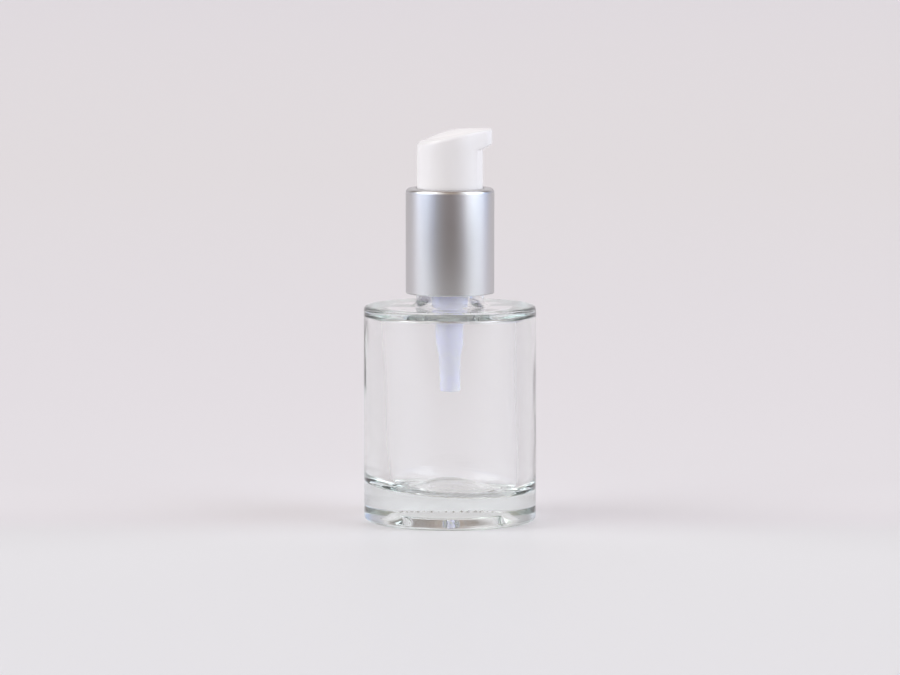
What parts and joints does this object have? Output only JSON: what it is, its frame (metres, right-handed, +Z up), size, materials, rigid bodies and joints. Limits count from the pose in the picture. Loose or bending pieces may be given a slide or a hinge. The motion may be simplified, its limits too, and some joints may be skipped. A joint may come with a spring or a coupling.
{
  "type": "pump bottle",
  "caption": "Thick-walled cylindrical glass bottle with a screw-on lotion pump: metal-clad cap, beaked push head, and a full pump with stem, piston, spring and ball valve.",
  "frame": {"origin": "centre of the base, on the plane that the bottle stands on", "axes": "+Z up along the bottle's axis, +X towards the tip of the head's beak"},
  "size_m": [0.04, 0.04, 0.091],
  "materials": {
    "clear_glass": "polished, very slightly green in depth",
    "satin_aluminium": "satin anodised",
    "white_plastic": "gloss",
    "natural_plastic": "milky translucent",
    "gasket_foam": "matte",
    "stainless_steel": "drawn and polished"
  },
  "bodies": {
    "bottle": {"glass_bottle": "clear_glass"},
    "pump_unit": {"pump_housing": "natural_plastic", "stem_guide": "natural_plastic", "neck_gasket": "gasket_foam", "return_spring": "stainless_steel"},
    "closure": {"threaded_cap": "white_plastic", "collar_shell": "satin_aluminium"},
    "plunger": {"pump_stem": "natural_plastic", "valve_rod": "natural_plastic"},
    "head": {"pump_head": "white_plastic"},
    "piston": {"piston": "natural_plastic"},
    "ball": {"inlet_ball": "stainless_steel"}
  },
  "joints": [
    {"name": "pump_lift", "type": "slide", "parent": "bottle", "child": "pump_unit", "axis": [0, 0, 1], "range_m": [0, 0.00635]},
    {"name": "cap_unscrew", "type": "hinge", "parent": "pump_unit", "child": "closure", "pos_m": [0, 0, 0.0531], "axis": [0, 0, 1], "range_deg": [0, 720]},
    {"name": "head_press", "type": "slide", "parent": "pump_unit", "child": "plunger", "axis": [0, 0, 1], "range_m": [-0.006, 0], "stiffness_N_per_m": 1040, "springref_m": 0.0003, "deforming": ["return_spring"]},
    {"name": "head_turn", "type": "hinge", "parent": "plunger", "child": "head", "pos_m": [0, 0, 0.0752], "axis": [0, 0, 1], "continuous": true},
    {"name": "outlet_piston", "type": "slide", "parent": "plunger", "child": "piston", "axis": [0, 0, 1], "range_m": [0, 0.0008]},
    {"name": "inlet_ball_lift", "type": "slide", "parent": "pump_unit", "child": "ball", "axis": [0, 0, 1], "range_m": [0, 0.001]}
  ],
  "couplings": [
    {"joint": "pump_lift", "follows": "cap_unscrew", "m_per_rad": 0.0005053}
  ]
}
